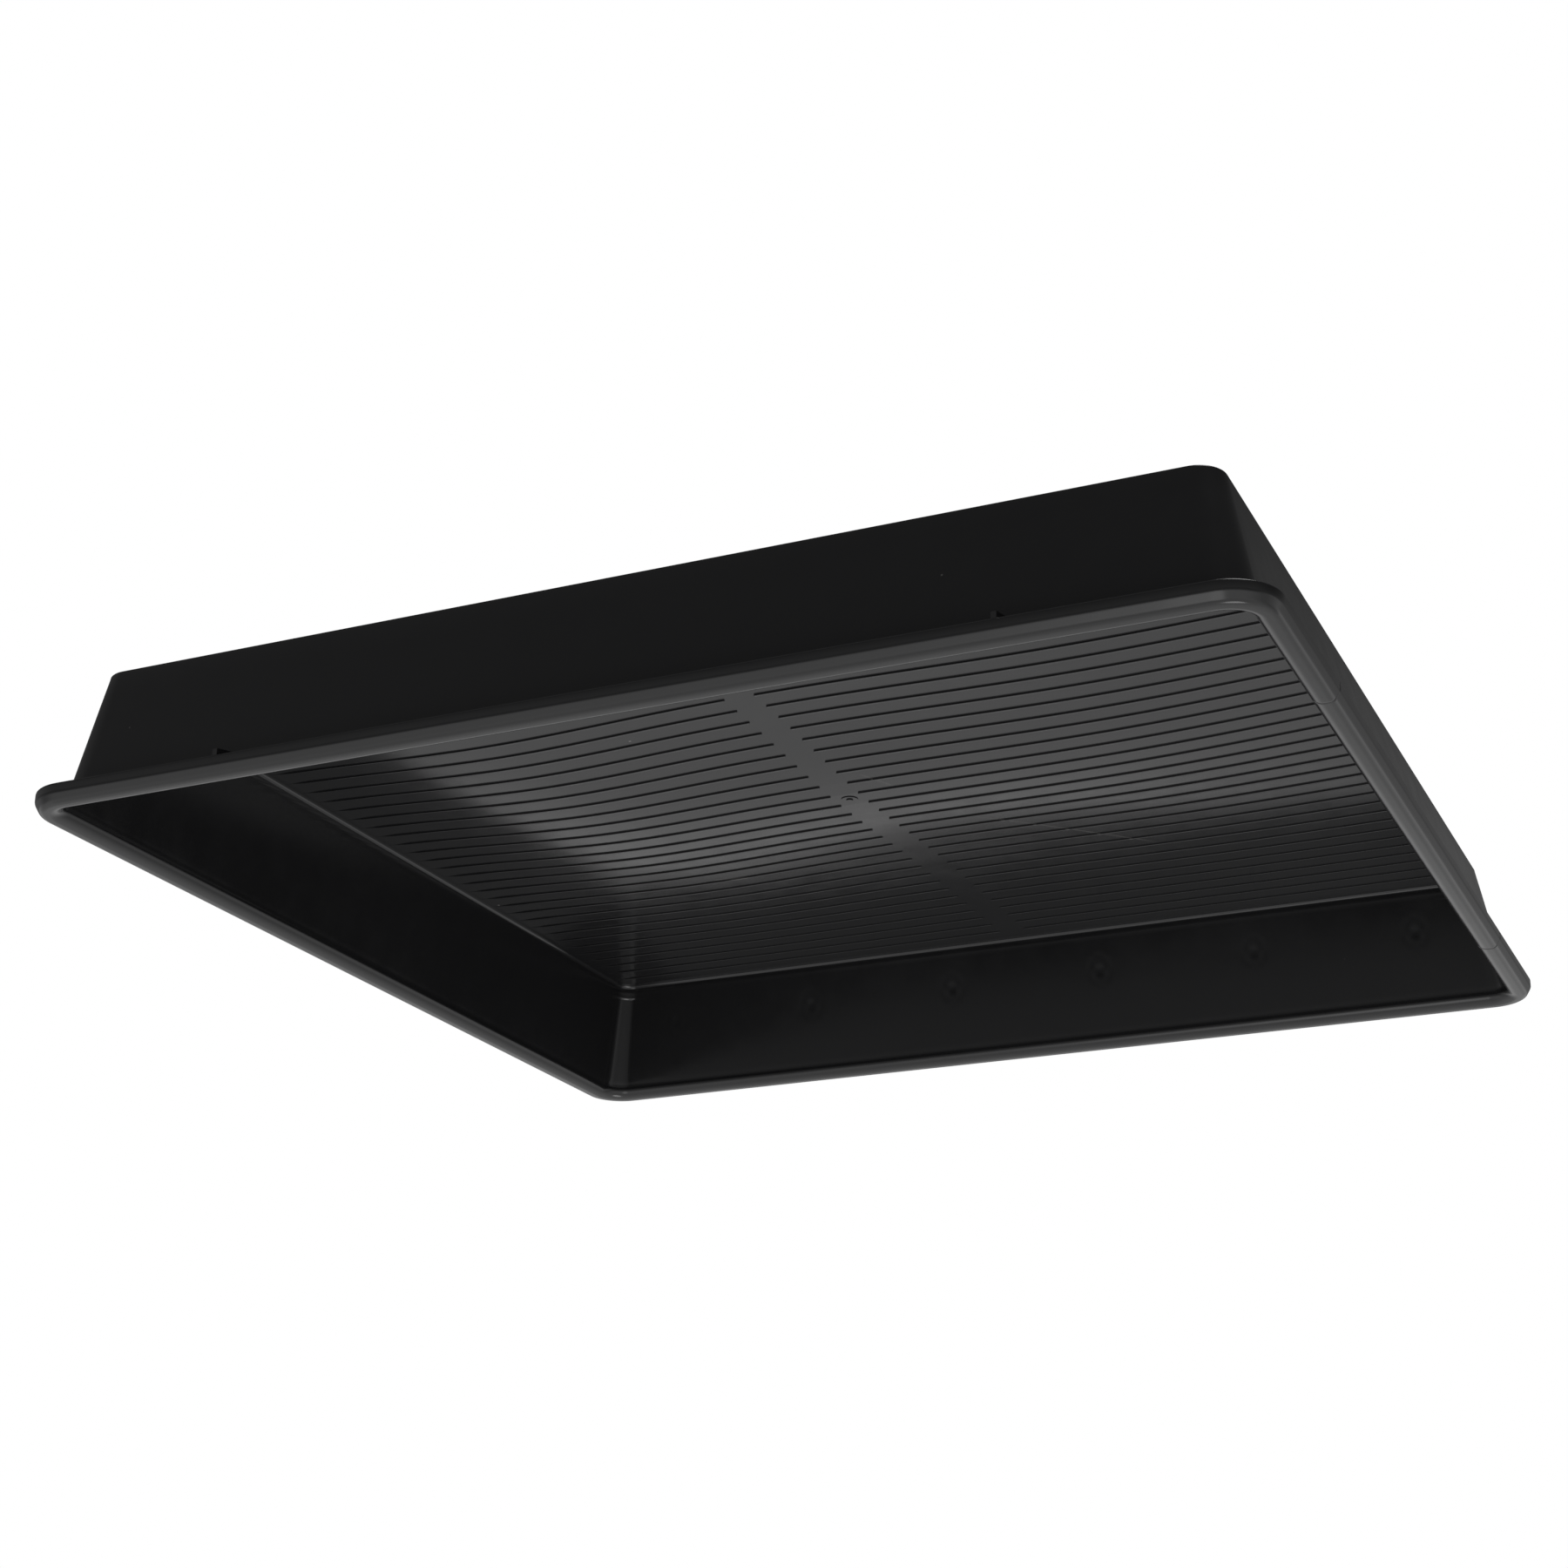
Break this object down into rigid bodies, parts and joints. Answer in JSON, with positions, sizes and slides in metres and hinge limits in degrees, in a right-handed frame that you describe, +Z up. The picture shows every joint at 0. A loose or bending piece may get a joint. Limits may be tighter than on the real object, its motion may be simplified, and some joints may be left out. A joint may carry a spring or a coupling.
{
  "type": "roof vent lid",
  "caption": "Shallow square moulded lid with a rolled rim and ribbed ceiling, hung on a continuous pin hinge to cover a roof vent.",
  "frame": {"origin": "centre of the covered opening, on the plane that the lid's rim rests on", "axes": "+X along the hinge, +Y towards the hinge, +Z up out of the roof"},
  "size_m": [0.4, 0.4198, 0.0491],
  "materials": {
    "lid_plastic": "semi-gloss moulded black",
    "hinge_steel": "rolled strip, dull zinc",
    "fastener_steel": "bright, turned",
    "pin_steel": "drawn wire",
    "cap_steel": "pressed, oiled"
  },
  "bodies": {
    "hinge_base": {"base_hinge_leaf": "hinge_steel", "hinge_pin": "pin_steel", "left_pin_cap": "cap_steel", "right_pin_cap": "cap_steel"},
    "lid": {"lid_shell": "lid_plastic", "lid_hinge_leaf": "hinge_steel", "lid_leaf_washers": "fastener_steel", "lid_leaf_screws": "fastener_steel"}
  },
  "joints": [
    {"name": "lid_hinge", "type": "hinge", "parent": "hinge_base", "child": "lid", "pos_m": [0, 0.1939, 0.013], "axis": [-1, 0, 0], "range_deg": [0, 80]}
  ]
}
